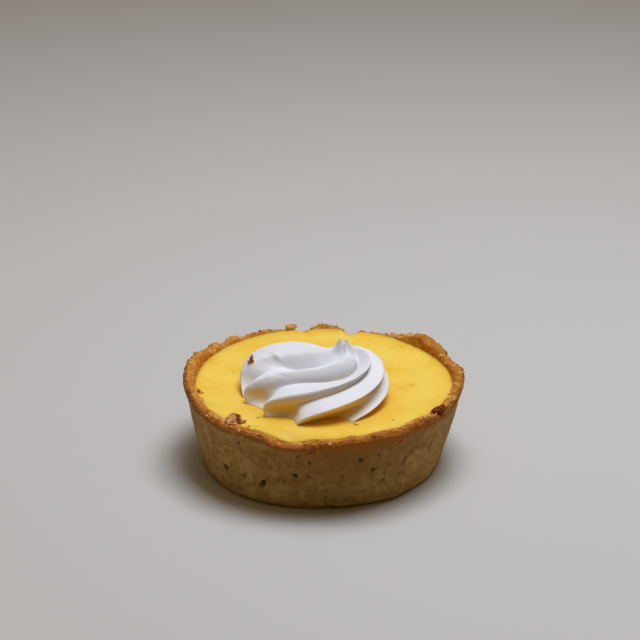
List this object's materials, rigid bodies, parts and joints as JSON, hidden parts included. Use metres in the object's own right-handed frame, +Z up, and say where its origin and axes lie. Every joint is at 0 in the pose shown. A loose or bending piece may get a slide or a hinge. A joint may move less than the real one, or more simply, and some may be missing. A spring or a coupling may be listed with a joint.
{
  "type": "key lime pie",
  "caption": "Single-serving key lime pie: an uneven shortcrust shell filled with baked lime custard, with one off-centre swirl of piped meringue.",
  "frame": {"origin": "centre of the flat underside, on the surface that the pie stands on", "axes": "+Z up; -Y is the front, the side from which the meringue's crown leans back and to the right; +X is to the right of the front"},
  "size_m": [0.1022, 0.1007, 0.048],
  "materials": {
    "crust": "baked shortcrust, dry and matt, golden at the rim",
    "custard": "smooth set custard with a soft sheen",
    "meringue": "smooth piped meringue, soft and satin"
  },
  "bodies": {
    "root": {"crust": "crust", "filling": "custard", "meringue": "meringue"}
  },
  "joints": []
}
